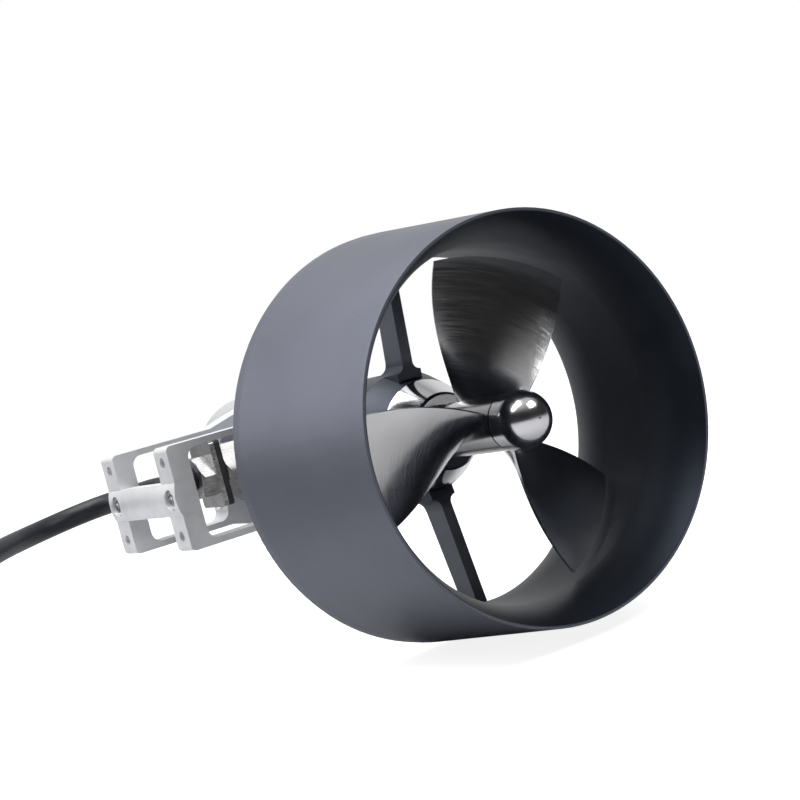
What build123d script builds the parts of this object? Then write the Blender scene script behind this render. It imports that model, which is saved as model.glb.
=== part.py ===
from build123d import *
import os
from math import asin, atan, cos, degrees, pi, radians, sin, sqrt, tan

os.makedirs("parts", exist_ok=True)

# Underwater thruster: a ducted propeller on the front of a sealed motor, carried by a two-plate bracket.
# Millimetres. +X points along the shaft towards the outlet of the duct, +Z up. The origin is the centre
# of the four mounting holes, on the end faces of the bracket's plates. The shaft lies at y = shaft_y.
# "d" is always a distance behind the outlet rim of the duct, measured along the shaft.

# Bracket and its four mounting holes
hole_pitch_x = 52.0       # between the plates' hole rows
hole_pitch_z = 28.0       # between the upper and the lower holes
mount_hole_r = 2.1        # tapping size of M5
plate_t = 12.0
plate_h = 39.6
shaft_y = 81.5            # mounting face to shaft
column_w = 8.0            # end column of a plate, between the mounting face and the window
window_end = 42.5         # where the window ends, from the mounting face
rail_h = 2.4              # rails above and below the window
window_corner_r = 4.0
plate_corner_r = 2.0
saddle_wall = 3.0         # plate beyond the motor at the tips of its saddle
saddle_end = 8.0          # the saddle stops this short of the shaft's plane
flare_start = 44.0        # where the plate begins to widen towards the saddle
saddle_hole_z = 9.3       # height of the two screws that hold the motor on a plate
saddle_screw_grip = 2.4   # how deep these screws go into the can's wall
plate_to_cap = 3.0        # between the rear plate and the rear cap

# Tie bar between the plates
bar_h = 12.4
bar_seat = 5.0            # pocket depth in the plates
bar_crown = 1.2           # how far its middle stands proud of the end faces

# Duct
outlet_wall = 8.0         # from the throat's radius to the outlet's outer radius
duct_len = 81.0
duct_growth = 6.1         # the inlet's outer radius is this much larger
outlet_lip = 1.2
outlet_flare_len = 24.0
inlet_lip_r = 1.2
inlet_roll_r = 45.0

# Propeller
prop_r = 60.0
tip_gap = 2.0
hub_r = 9.8
hub_front = 20.5
hub_len = 37.0
blade_count = 3
blade_pitch = 127.5       # advance in one turn
blade_front_tip = 29.0    # d of the front corner of the tip
tip_front_deg = 45.0      # where the blade's front corner stands, from +Y towards +Z
root_t = 4.2
tip_t = 1.8
edge_t = 0.9
cap_r = 10.2
nose_skirt = 5.8
washer_t = 1.0
washer_r = 8.6

# Shaft and bearings
shaft_r = 4.0
bearing_r = 11.0
bearing_w = 7.0
race_t = 2.2
ball_count = 7
ball_gap = 0.03
seal_r = 8.0
seal_w = 5.0
seal_inset = 1.5
pin_r = 1.5
pin_len = 17.0

# Motor
can_r = 24.5
can_wall = 4.0
can_len = 119.0
spigot_len = 14.0         # turned-down front of the can, inside the strut sleeve
spigot_step = 2.0
fit_gap = 0.05
nose_gap = 2.3            # between the hub and the front housing
nose_r = 14.2
nose_land = 1.0           # rounded edge of the nose
shoulder_r = 20.0         # where the front housing's cone meets the strut sleeve
collar_step = 1.1         # the sleeve's wall at its front edge
housing_plug = 12.0       # depth of the covers' plugs inside the can
o_ring_t = 1.8
stator_len = 55.0
tooth_count = 9
air_gap = 0.5
magnet_t = 2.2
pole_count = 6
cap_rear_r = 27.5
cap_skirt = 17.0
cap_wall = 12.0
stator_set_back = 18.0    # from the can's front to the stator
cap_screw_count = 4
cap_screw_grip = 8.0      # how deep these screws go into the can

# Struts that carry the duct
sleeve_inset = 9.0        # the sleeve's front edge, ahead of the duct's inlet
sleeve_cone_len = 13.0
sleeve_lip_len = 11.0     # from the sleeve's front edge to the can's spigot
strut_turn_deg = 0.9      # the struts stand this much past upright
strut_t = 4.4
strut_chord_hub = 12.0
strut_chord_tip = 10.2
strut_inset_hub = 6.2     # the strut's front edge, ahead of the duct's inlet
strut_inset_tip = 12.0
strut_blend_r = 3.0       # where a strut meets the sleeve and the duct
strut_rear_blend = 5.0

# Cable entry
gland_x = -4.0
gland_z = 3.2
gland_boss_r = 14.0
gland_boss_y = 43.5
gland_body_af = 21.0
gland_body_t = 9.3
gland_flange_w = 19.0
gland_flange_h = 26.0
gland_flange_corner = 1.5
gland_seal_t = 2.4
gland_collar_t = 2.0
gland_neck_r = 7.4
gland_nut_af = 16.0
gland_nut_t = 6.0
cable_r = 4.25

# Screws: radius of thread, head radius, head height
m2_5 = (1.25, 2.4, 1.35)
m3 = (1.5, 2.75, 1.65)
m4 = (2.0, 3.8, 2.2)
m2_5_socket_af = 1.5
m3_socket_af = 2.0
m4_socket_af = 2.5

# Values worked out from those above
can_bore = can_r - can_wall
spigot_r = can_r - spigot_step
throat_r = prop_r + tip_gap
outlet_r = throat_r + outlet_wall
inlet_r = outlet_r + duct_growth
rail_z = plate_h / 2 - rail_h
rotor_r = can_bore * 0.56
hub_back = hub_front + hub_len
nose_front = hub_back + nose_gap
sleeve_front = duct_len - sleeve_inset
sleeve_seat = sleeve_front + sleeve_lip_len
can_front = sleeve_seat + 3.0
can_back = can_front + can_len
cap_skirt_front = can_back - cap_skirt
stator_front = can_front + stator_set_back
outlet_ahead = cap_skirt_front - plate_to_cap - plate_t / 2 - hole_pitch_x / 2
strut_front_hub = duct_len - strut_inset_hub
strut_front_tip = duct_len - strut_inset_tip
strut_angles = (90 + strut_turn_deg, -90 + strut_turn_deg)
front_plate_x = hole_pitch_x / 2
rear_plate_x = -hole_pitch_x / 2
clear_hole = 0.2
floor_z = -inlet_r


# Helpers

shaft_plane = Plane(origin=(outlet_ahead, shaft_y, 0), x_dir=(0, 1, 0), z_dir=(-1, 0, 0))


def turned(*outline):
    """A solid turned about the shaft from (radius, d) corners."""
    return shaft_plane * revolve(make_face(Plane.XZ * Polyline(*outline, close=True)), Axis.Z)


def turned_curves(*lines):
    """A solid turned about the shaft from lines and arcs drawn as (radius, d)."""
    edges = []
    for line in lines:
        edges += (Plane.XZ * line).edges()
    return shaft_plane * revolve(make_face(edges), Axis.Z)


def tube(r_out, r_in, d0, d1):
    """A plain ring about the shaft from d0 to d1."""
    return turned((r_in, d0), (r_out, d0), (r_out, d1), (r_in, d1))


def disc(r, d0, d1):
    """A plain solid cylinder on the shaft from d0 to d1."""
    return turned((0, d0), (r, d0), (r, d1), (0, d1))


def around_shaft(shape, angle_deg):
    """The shape turned about the shaft, counted from +Y towards +Z."""
    return shape.rotate(Axis((0, shaft_y, 0), (1, 0, 0)), angle_deg)


def rod_y(r, x, z, y0, y1):
    """A cylinder along Y."""
    return Pos(x, (y0 + y1) / 2, z) * Rot(90, 0, 0) * Cylinder(r, abs(y1 - y0))


def rod_z(r, x, y, z0, z1):
    """A cylinder along Z."""
    return Pos(x, y, (z0 + z1) / 2) * Cylinder(r, abs(z1 - z0))


def button_screw(thread_r, head_r, head_h, length, socket_af):
    """A button-head screw standing on z = 0, its head above and its thread below."""
    head = Pos(0, 0, head_h / 2) * Cylinder(head_r, head_h)
    head = fillet(head.edges().group_by(Axis.Z)[-1], head_h * 0.6)
    socket = extrude(RegularPolygon(socket_af / 2, 6, major_radius=False), head_h * 0.6)
    head -= Pos(0, 0, head_h * 0.45) * socket
    return head + Pos(0, 0, -length / 2) * Cylinder(thread_r, length)


def countersunk_screw(thread_r, head_r, length, socket_af):
    """A countersunk screw with its head's top at z = 0 and its thread below."""
    outline = [(0, 0), (head_r, 0), (thread_r, thread_r - head_r), (thread_r, -length), (0, -length)]
    body = revolve(make_face(Plane.XZ * Polyline(*outline, close=True)), Axis.Z)
    socket = extrude(RegularPolygon(socket_af / 2, 6, major_radius=False), 1.2)
    return body - Pos(0, 0, -1.1) * socket


def hex_ring(af, bore_r, x, z, y0, y1, chamfer_size):
    """A hexagonal ring along Y with rounded corners at its outer face y0."""
    prism = Pos(x, y1, z) * Rot(90, 0, 0) * extrude(RegularPolygon(af / 2, 6, major_radius=False), y1 - y0)
    corner_r = af / sqrt(3)
    trim = Pos(x, y1, z) * Rot(90, 0, 0) * Cone(corner_r + y1 - y0, corner_r - chamfer_size, y1 - y0,
                                               align=(Align.CENTER, Align.CENTER, Align.MIN))
    return (prism & trim) - rod_y(bore_r, x, z, y0 - 1, y1 + 1)


def group(shapes):
    """Separate solids kept together in one node."""
    solids = []
    for shape in shapes:
        solids += shape.solids()
    return Compound(children=solids)


# Duct

lip_d = duct_len - inlet_lip_r
lip_y = inlet_r - 0.2 - inlet_lip_r
roll_y = throat_r + inlet_roll_r
roll_d = lip_d - sqrt((inlet_roll_r - inlet_lip_r) ** 2 - (roll_y - lip_y) ** 2)
roll_angle = atan((lip_d - roll_d) / (roll_y - lip_y))
roll_end = (roll_y - inlet_roll_r * cos(roll_angle), roll_d + inlet_roll_r * sin(roll_angle))
bevel_d = duct_len - 5.5


def duct_ring():
    """Outer cone, rounded inlet lip, rolled inlet, straight throat and flared outlet."""
    outer = Line((outlet_r, 0), (lip_y + inlet_lip_r, bevel_d))
    bevel = Line((lip_y + inlet_lip_r, bevel_d), (lip_y + inlet_lip_r, lip_d))
    lip = ThreePointArc((lip_y + inlet_lip_r, lip_d), (lip_y, lip_d + inlet_lip_r), roll_end)
    half = roll_angle / 2
    roll_mid = (roll_y - inlet_roll_r * cos(half), roll_d + inlet_roll_r * sin(half))
    roll = ThreePointArc(roll_end, roll_mid, (throat_r, roll_d))
    throat = Line((throat_r, roll_d), (throat_r, outlet_flare_len))
    flare = TangentArc((throat_r, outlet_flare_len), (outlet_r - outlet_lip, 0), tangent=(0, -1))
    rim = Line((outlet_r - outlet_lip, 0), (outlet_r, 0))
    return turned_curves(outer, bevel, lip, roll, throat, flare, rim)


foot_screw_d = strut_front_tip + strut_chord_tip / 2
screw_top = outlet_r + duct_growth * foot_screw_d / duct_len - 0.9
screw_len = 11.0


def build_duct():
    """The ring with a countersunk hole over the middle of each strut's end."""
    ring = duct_ring()
    above = 4.0
    hole_r = m2_5[0] + clear_hole
    head_r = m2_5[1] + above
    for angle in strut_angles:
        hole = rod_z(hole_r, outlet_ahead - foot_screw_d, shaft_y, throat_r - 2, inlet_r + 2)
        sink = Cone(hole_r, head_r, head_r - hole_r, align=(Align.CENTER, Align.CENTER, Align.MAX))
        sink = Pos(outlet_ahead - foot_screw_d, shaft_y, screw_top + above) * sink
        ring -= around_shaft(hole, angle - 90)
        ring -= around_shaft(sink, angle - 90)
    return ring


# Strut frame: the sleeve round the motor's nose and its two struts

sleeve_back = can_front + spigot_len
strut_seat_r = roll_y - sqrt(inlet_roll_r ** 2 - (foot_screw_d - roll_d) ** 2)


def strut_side():
    """Side view of the upper strut: its front edge sweeps forward, its back edge runs out into the sleeve."""
    top = inlet_r
    span = throat_r - can_r
    sweep = (strut_front_hub - strut_front_tip) / span
    taper = (strut_chord_hub - strut_chord_tip) / span
    up = top - can_r
    front_x = outlet_ahead - strut_front_hub
    back_x = front_x - strut_chord_hub
    blend = strut_rear_blend
    lean = (sweep + taper) * blend
    outline = Polyline(
        (back_x - blend, can_r), (back_x - blend, can_r - blend), (front_x - sweep * blend, can_r - blend),
        (front_x + sweep * up, top), (back_x + (sweep + taper) * up, top), (back_x + lean, can_r + blend))
    run_out = TangentArc((back_x - blend, can_r), (back_x + lean, can_r + blend), tangent=(1, 0))
    side = Plane.XZ * make_face(outline.edges() + run_out.edges())
    return Pos(0, shaft_y, 0) * extrude(side, 2 * strut_blend_r + strut_t, both=True)


def strut_front():
    """Front view of the upper strut: a straight bar with rounded corners at the sleeve and the duct."""
    bar = Pos(0, inlet_r / 2) * Rectangle(strut_t, inlet_r - 2)
    seat = Circle(can_r)
    wall = Circle(inlet_r) - Circle(strut_seat_r)
    view = bar + seat + wall
    inner = [v for v in view.vertices() if v.Y > 0 and abs(v.X) < strut_t]
    view = fillet(inner, strut_blend_r) & (Pos(0, inlet_r) * Rectangle(strut_t + 2 * strut_blend_r, 2 * inlet_r))
    place = Plane(origin=(outlet_ahead - duct_len - 30.0, shaft_y, 0), x_dir=(0, 1, 0), z_dir=(1, 0, 0))
    return extrude(place * view, 60.0)


def build_strut_frame():
    collar_r = shoulder_r - collar_step + fit_gap
    bore_r = spigot_r + fit_gap
    cone_back = sleeve_front + sleeve_cone_len
    sleeve = turned(
        (collar_r, sleeve_front), (shoulder_r, sleeve_front), (can_r, cone_back), (can_r, sleeve_back - 0.5),
        (can_r - 0.5, sleeve_back), (bore_r, sleeve_back), (bore_r, sleeve_seat), (collar_r, sleeve_seat))
    bore = disc(collar_r, sleeve_front - 10, sleeve_seat + 1) + disc(bore_r, sleeve_seat, sleeve_back + 20)
    strut = strut_side() & strut_front()
    strut -= bore
    frame = sleeve
    for angle in strut_angles:
        frame += around_shaft(strut, angle - 90)
    inside = disc(inlet_r + 5, 40, 120) - duct_ring()
    frame = (frame & inside).solids().sort_by(SortBy.VOLUME)[-1]
    for angle in strut_angles:
        hole = rod_z(m2_5[0] - 0.05, outlet_ahead - foot_screw_d, shaft_y, screw_top - screw_len - 0.6, inlet_r)
        frame -= around_shaft(hole, angle - 90)
    for angle in set_screw_angles:
        hole = rod_y(m3[0], outlet_ahead - set_screw_d, 0, shaft_y + spigot_r - 1, shaft_y + can_r + 1)
        frame -= around_shaft(hole, angle)
    return frame


set_screw_angles = (0, 140, 220)
set_screw_d = can_front + spigot_len * 0.5


def build_foot_screws():
    screws = []
    for angle in strut_angles:
        screw = countersunk_screw(m2_5[0] - 0.1, m2_5[1] - 0.1, screw_len, m2_5_socket_af)
        place = Pos(outlet_ahead - foot_screw_d, shaft_y, screw_top - fit_gap)
        screws.append(around_shaft(place * screw, angle - 90))
    return group(screws)


def build_set_screws():
    screws = []
    for angle in set_screw_angles:
        length = spigot_step - fit_gap
        body = rod_y(m3[0] - 0.05, outlet_ahead - set_screw_d, 0, shaft_y + spigot_r + fit_gap,
                     shaft_y + spigot_r + fit_gap + length - 0.2)
        socket = rod_y(0.8, outlet_ahead - set_screw_d, 0, shaft_y + can_r - 1.3, shaft_y + can_r + 1)
        screws.append(around_shaft(body - socket, angle))
    return group(screws)


# Motor body

plug_r = can_bore - fit_gap
o_ring_mid = plug_r - o_ring_t / 2 + 0.03
front_groove_d = can_front + housing_plug * 0.45
rear_groove_d = can_back - housing_plug * 0.45
front_bearing_d = can_front + housing_plug - bearing_w
rear_bearing_d = can_back - housing_plug


def o_ring_groove(d):
    """The ring of material taken out of a plug for its O-ring."""
    return tube(plug_r + 1, plug_r - o_ring_t, d - o_ring_t * 0.6, d + o_ring_t * 0.6)


def build_front_housing():
    """Polished cone that carries the shaft seal and the front bearing."""
    collar_r = shoulder_r - collar_step
    seal_back = nose_front + seal_inset + seal_w
    edge = Line((nose_r - nose_land, nose_front), (nose_r, nose_front + nose_land))
    rest = Polyline(
        (nose_r, nose_front + nose_land), (shoulder_r - fit_gap, sleeve_front - fit_gap),
        (collar_r, sleeve_front - fit_gap), (collar_r, sleeve_seat + fit_gap), (spigot_r, sleeve_seat + fit_gap),
        (spigot_r, can_front), (plug_r, can_front), (plug_r, can_front + housing_plug),
        (bearing_r, can_front + housing_plug), (bearing_r, front_bearing_d), (seal_r - 1.5, front_bearing_d),
        (seal_r - 1.5, seal_back), (seal_r, seal_back), (seal_r, nose_front + seal_inset),
        (shaft_r + 0.6, nose_front + seal_inset), (shaft_r + 0.6, nose_front), (nose_r - nose_land, nose_front))
    return turned_curves(edge, rest) - o_ring_groove(front_groove_d)


def build_motor_can():
    """Tube round the motor, turned down at the front, with the boss for the cable gland on its side."""
    can = turned(
        (spigot_r, can_front), (spigot_r, can_front + spigot_len), (can_r, can_front + spigot_len),
        (can_r, can_back), (can_bore, can_back), (can_bore, can_front))
    boss = rod_y(gland_boss_r, gland_x, gland_z, gland_boss_y, shaft_y - can_bore - 0.5)
    boss -= rod_y(gland_boss_r + 5, gland_x, gland_z, shaft_y, shaft_y + 1)
    boss -= disc(can_bore, can_front, can_back)
    can += boss
    can -= rod_y(cable_r + 1.0, gland_x, gland_z, gland_boss_y - 1, shaft_y - can_bore + 3)
    for angle in cap_screw_angles:
        hole = Pos(outlet_ahead - can_back + 5, shaft_y + cap_screw_r, 0) * Rot(0, 90, 0) * Cylinder(1.25, 11)
        can -= around_shaft(hole, angle)
    for x in (front_plate_x, rear_plate_x):
        for z in (saddle_hole_z, -saddle_hole_z):
            can -= rod_y(m4[0], x, z, window_end, window_end + saddle_screw_len + 0.2)
    return can


cap_screw_r = can_r - can_wall / 2
cap_screw_angles = [45 + 360 / cap_screw_count * i for i in range(cap_screw_count)]
cap_back = can_back + cap_wall


def build_rear_cap():
    """Rear cover with a skirt round the can, a plug inside it and the rear bearing's seat."""
    cap = turned(
        (0, cap_back), (cap_rear_r - 1.0, cap_back), (cap_rear_r, cap_back - 1.0),
        (cap_rear_r, cap_skirt_front + 1.5), (cap_rear_r - 1.5, cap_skirt_front), (can_r + fit_gap, cap_skirt_front),
        (can_r + fit_gap, can_back), (plug_r, can_back), (plug_r, can_back - housing_plug),
        (bearing_r, can_back - housing_plug), (bearing_r, rear_bearing_d + bearing_w),
        (seal_r - 1.5, rear_bearing_d + bearing_w), (seal_r - 1.5, can_back + 1.0), (0, can_back + 1.0))
    cap -= o_ring_groove(rear_groove_d)
    for angle in cap_screw_angles:
        hole = axial_rod(m3[0] + clear_hole, can_back - 1, cap_back + 1)
        sink = axial_rod(m3[1] + clear_hole, cap_back - m3[2] - 0.6, cap_back + 1)
        cap -= around_shaft(hole + sink, angle)
    return cap


def axial_rod(r, d0, d1):
    """A cylinder along X on the rear cover's screw circle, at angle 0."""
    place = Pos(outlet_ahead - (d0 + d1) / 2, shaft_y + cap_screw_r, 0)
    return place * Rot(0, 90, 0) * Cylinder(r, d1 - d0)


def build_rear_cap_screws():
    length = cap_back - m3[2] - 0.6 - can_back + cap_screw_grip
    screws = []
    for angle in cap_screw_angles:
        screw = button_screw(m3[0] - 0.3, m3[1], m3[2], length, m3_socket_af)
        place = Pos(outlet_ahead - cap_back + m3[2] + 0.6, shaft_y + cap_screw_r, 0) * Rot(0, -90, 0)
        screws.append(around_shaft(place * screw, angle))
    return group(screws)


def build_o_rings():
    rings = []
    for d in (front_groove_d, rear_groove_d):
        rings.append(shaft_plane * Pos(0, 0, d) * Torus(o_ring_mid, o_ring_t / 2))
    return group(rings)


def build_stator_core():
    """Laminated ring with teeth that point at the rotor."""
    core = tube(can_bore - fit_gap, can_bore - 3.6, stator_front, stator_front + stator_len)
    tooth_mid = (rotor_r + air_gap + can_bore - 3.2) / 2
    tooth_len = can_bore - 3.2 - rotor_r - air_gap
    x_mid = outlet_ahead - stator_front - stator_len / 2
    for i in range(tooth_count):
        tooth = Pos(x_mid, shaft_y + tooth_mid, 0) * Box(stator_len, tooth_len, 3.2)
        core += around_shaft(tooth, 360 / tooth_count * i)
    return core - disc(rotor_r + air_gap, stator_front - 1, stator_front + stator_len + 1)


def build_stator_windings():
    """One coil round each tooth."""
    coils = []
    x_mid = outlet_ahead - stator_front - stator_len / 2
    mid_r = (rotor_r + air_gap + can_bore - 3.6) / 2 + 0.7
    depth = can_bore - 3.6 - rotor_r - air_gap - 2.2
    for i in range(tooth_count):
        outer = Pos(x_mid, shaft_y + mid_r, 0) * Box(stator_len + 6.4, depth, 6.6)
        outer = fillet(outer.edges().filter_by(Axis.Y), 2.4)
        inner = Pos(x_mid, shaft_y + mid_r, 0) * Box(stator_len + 0.4, depth + 1, 3.5)
        coils.append(around_shaft(outer - inner, 360 / tooth_count * i))
    return group(coils)


# Bearings, seal and everything that turns

ball_r = (bearing_r - shaft_r - 2 * race_t) / 2 + 0.8
ball_circle = (bearing_r + shaft_r) / 2


def bearing_groove(d):
    """The ball track that is cut into both races."""
    return shaft_plane * Pos(0, 0, d + bearing_w / 2) * Torus(ball_circle, ball_r + ball_gap)


def bearing_starts():
    return (front_bearing_d, rear_bearing_d)


def build_outer_races():
    races = []
    for d in bearing_starts():
        races.append(tube(bearing_r, bearing_r - race_t, d, d + bearing_w) - bearing_groove(d))
    return group(races)


def build_inner_races():
    races = []
    for d in bearing_starts():
        races.append(tube(shaft_r + race_t, shaft_r, d, d + bearing_w) - bearing_groove(d))
    return group(races)


def build_bearing_balls():
    balls = []
    for d in bearing_starts():
        for i in range(ball_count):
            place = Pos(outlet_ahead - d - bearing_w / 2, shaft_y + ball_circle, 0)
            balls.append(around_shaft(place * Sphere(ball_r), 360 / ball_count * i + 10))
    return group(balls)


def build_shaft_seal():
    """Rubber lip seal in the nose, open towards the shaft by a running clearance."""
    front = nose_front + seal_inset
    return turned(
        (seal_r, front), (seal_r, front + seal_w), (seal_r - 1.6, front + seal_w), (seal_r - 1.6, front + 1.4),
        (shaft_r + 1.0, front + 1.4), (shaft_r + 0.8, front + 3.2), (shaft_r + 0.05, front + 2.2),
        (shaft_r + 0.6, front))


def build_shaft():
    front = cap_tip + 4.5
    shaft = disc(shaft_r, front, rear_bearing_d + bearing_w + 1.5)
    shaft = chamfer(shaft.edges().group_by(Axis.X)[-1], 0.6)
    return shaft - drive_pin_body(0)


def drive_pin_body(clearance):
    x = outlet_ahead - hub_back + 3.0
    return rod_z(pin_r + clearance, x, shaft_y, -pin_len / 2, pin_len / 2)


cap_tip = hub_front - washer_t - nose_skirt - cap_r


def build_nose_cap():
    """Polished bullet nut that locks the propeller on the shaft's thread."""
    centre = cap_tip + cap_r
    back = hub_front - washer_t
    dome = ThreePointArc((0, cap_tip), (cap_r * sin(pi / 4), centre - cap_r * cos(pi / 4)), (cap_r, centre))
    sides = Polyline((cap_r, centre), (cap_r, back - 0.5), (cap_r - 0.5, back), (shaft_r, back),
                     (shaft_r, cap_tip + 4.5), (0, cap_tip + 4.5), (0, cap_tip))
    return turned_curves(dome, sides)


def build_prop_washer():
    return tube(washer_r, shaft_r, hub_front - washer_t, hub_front)


# Propeller

advance = blade_pitch / (2 * pi)    # advance for each radian
blade_mid_deg = tip_front_deg + 17.0


def front_edge_deg(r):
    """Where the blade's front edge stands at radius r."""
    return tip_front_deg - 18.5 * (1 - r / prop_r)


def back_edge_deg(r):
    """Where the blade's back edge stands at radius r: nearly straight, pulled in towards the tip."""
    return tip_front_deg + 52.5 - 9.3 * (r / prop_r) ** 2.4


def edge_offset(edge, station):
    """Sideways distance of a blade edge in the flat section at this distance from the shaft."""
    r = station
    for _ in range(8):
        turn = radians(edge(r) - blade_mid_deg)
        r = station / cos(turn)
    return station * tan(turn)


def blade_section(station):
    """One closed section of a blade, in a plane square to the blade's own radius."""
    plane = Plane(
        origin=(outlet_ahead, shaft_y + station * cos(radians(blade_mid_deg)), station * sin(radians(blade_mid_deg))),
        x_dir=(0, -sin(radians(blade_mid_deg)), cos(radians(blade_mid_deg))),
        z_dir=(0, cos(radians(blade_mid_deg)), sin(radians(blade_mid_deg))))
    start = edge_offset(front_edge_deg, station)
    end = edge_offset(back_edge_deg, station)
    thick = root_t + (tip_t - root_t) * min(1.0, station / prop_r)
    steps = 8
    upper = []
    lower = []
    for i in range(steps + 1):
        share = i / steps
        u = start + (end - start) * share
        turn = atan(u / station) + radians(blade_mid_deg - tip_front_deg)
        mean = -blade_front_tip - advance * turn
        slope = -advance * station / (station ** 2 + u ** 2)
        half = (edge_t + (thick - edge_t) * (4 * share * (1 - share)) ** 0.7) / 2
        norm = sqrt(1 + slope ** 2)
        upper.append((u - half * slope / norm, mean + half / norm))
        lower.append((u + half * slope / norm, mean - half / norm))
    lines = [
        Spline(*upper), Line(upper[-1], lower[-1]), Spline(*reversed(lower)), Line(lower[0], upper[0])]
    edges = []
    for line in lines:
        edges += line.edges()
    return plane * make_face(edges)


def build_propeller():
    hub = tube(hub_r, shaft_r, hub_front, hub_back)
    stations = [7.0, 16.0, 26.0, 36.0, 46.0, 55.0, 64.0]
    blade = loft([blade_section(s) for s in stations])
    blade &= tube(prop_r, shaft_r + 1.0, hub_front - 5, hub_back + 10)
    prop = hub
    for i in range(blade_count):
        prop += around_shaft(blade, 360 / blade_count * i)
    slot_x = outlet_ahead - hub_back + (3.0 + pin_r + 0.02) / 2
    slot = Pos(slot_x, shaft_y, 0) * Box(3.0 + pin_r + 0.02, 2 * pin_r + 0.04, 2 * hub_r + 2)
    return prop - slot


# Rotor

def build_rotor_core():
    return tube(rotor_r - magnet_t, shaft_r, stator_front + 2, stator_front + stator_len - 2)


def build_rotor_magnets():
    """Curved magnets glued round the core, with a small gap between neighbours."""
    ring = tube(rotor_r, rotor_r - magnet_t, stator_front + 3, stator_front + stator_len - 3)
    for i in range(pole_count):
        x_mid = outlet_ahead - stator_front - stator_len / 2
        gap = Pos(x_mid, shaft_y + rotor_r, 0) * Box(stator_len, 2 * magnet_t + 2, 0.8)
        ring -= around_shaft(gap, 360 / pole_count * i)
    return group([ring])


# Bracket

def build_plate(middle_x):
    """One plate: a framed window, then a saddle that holds the motor's near half on two screws."""
    tip_y = shaft_y - saddle_end
    tip_z = can_r + saddle_wall
    half_h = plate_h / 2
    outline = make_face(Polyline(
        (0, -half_h), (flare_start, -half_h), (tip_y, -tip_z), (tip_y, tip_z), (flare_start, half_h),
        (0, half_h), close=True))
    outline = fillet([v for v in outline.vertices() if v.X < 1], plate_corner_r)
    window_len = window_end - column_w
    window = Pos(column_w + window_len / 2, 0) * RectangleRounded(window_len, 2 * rail_z, window_corner_r)
    outline -= window
    outline -= Pos(shaft_y, 0) * Circle(can_r + fit_gap)
    outline -= Pos(bar_seat / 2, 0) * Rectangle(bar_seat, bar_h + 0.1)
    section = Plane(origin=(middle_x - plate_t / 2, 0, 0), x_dir=(0, 1, 0), z_dir=(1, 0, 0))
    plate = extrude(section * outline, plate_t)
    for side in (1, -1):
        plate -= rod_y(mount_hole_r, middle_x, side * hole_pitch_z / 2, -1, column_w + 1)
        plate -= rod_y(m4[0] + clear_hole, middle_x, side * saddle_hole_z, window_end - 1, shaft_y - can_bore)
    plate -= rod_y(m4[0], middle_x, 0, bar_seat - 1, column_w + 1)
    return plate


def build_tie_bar():
    """Bar let into both plates, crowned across its width."""
    length = hole_pitch_x + plate_t
    sides = Polyline((0, -bar_h / 2), (bar_seat, -bar_h / 2), (bar_seat, bar_h / 2), (0, bar_h / 2))
    crown = ThreePointArc((0, bar_h / 2), (-bar_crown, 0), (0, -bar_h / 2))
    flat = make_face(sides.edges() + crown.edges())
    section = Plane(origin=(-length / 2, 0, 0), x_dir=(0, 1, 0), z_dir=(1, 0, 0))
    bar = extrude(section * flat, length)
    for x in (front_plate_x, rear_plate_x):
        bar -= rod_y(m4[0] + clear_hole, x, 0, -3, bar_seat + 1)
        bar -= rod_y(m4[1] + clear_hole, x, 0, -3, m4[2] - 0.4)
    return bar


def build_bar_screws():
    screws = []
    for x in (front_plate_x, rear_plate_x):
        screw = button_screw(m4[0] - fit_gap, m4[1], m4[2], column_w - m4[2] + 0.2, m4_socket_af)
        screws.append(Pos(x, m4[2] - 0.4, 0) * Rot(90, 0, 0) * screw)
    return group(screws)


saddle_screw_len = shaft_y - can_r * cos(asin(saddle_hole_z / can_r)) - window_end + saddle_screw_grip


def build_saddle_screws():
    """Screws from the windows' ends through the plates into blind holes in the can's wall."""
    screws = []
    for x in (front_plate_x, rear_plate_x):
        for z in (saddle_hole_z, -saddle_hole_z):
            screw = button_screw(m4[0] - fit_gap, m4[1], m4[2], saddle_screw_len, m4_socket_af)
            screws.append(Pos(x, window_end, z) * Rot(90, 0, 0) * screw)
    return group(screws)


# Cable gland

gland_body_y = gland_boss_y - gland_body_t
gland_seal_y = gland_body_y - gland_seal_t
gland_collar_y = gland_seal_y - gland_collar_t
gland_nut_y = gland_collar_y - gland_nut_t


def gland_plate(y0, y1):
    """A rectangular plate with rounded corners, square to the cable, bored for the gland's neck."""
    flat = RectangleRounded(gland_flange_w, gland_flange_h, gland_flange_corner)
    plate = Pos(gland_x, y1, gland_z) * Rot(90, 0, 0) * extrude(flat, y1 - y0)
    return plate - rod_y(gland_neck_r, gland_x, gland_z, y0 - 1, y1 + 1)


def build_gland_body():
    body = hex_ring(gland_body_af, cable_r + 1.0, gland_x, gland_z, gland_body_y, gland_boss_y, 1.2)
    neck = rod_y(gland_neck_r, gland_x, gland_z, gland_collar_y, gland_body_y)
    return body + neck - rod_y(cable_r + 1.0, gland_x, gland_z, gland_collar_y - 1, gland_boss_y + 1)


def build_gland_seal():
    return gland_plate(gland_seal_y, gland_body_y)


def build_gland_collar():
    return gland_plate(gland_collar_y, gland_seal_y)


def build_gland_nut():
    return hex_ring(gland_nut_af, cable_r + 0.55, gland_x, gland_z, gland_nut_y, gland_collar_y, 1.4)


def build_gland_grommet():
    """Rubber sleeve squeezed round the cable inside the gland."""
    return (rod_y(cable_r + 1.0, gland_x, gland_z, gland_collar_y, gland_boss_y)
            - rod_y(cable_r, gland_x, gland_z, gland_collar_y - 1, gland_boss_y + 1))


# Cable: out of the gland, through the rear plate's window, round in a loose curve and down to the
# surface that the duct stands on, where the spare length lies in a round coil.

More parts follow.
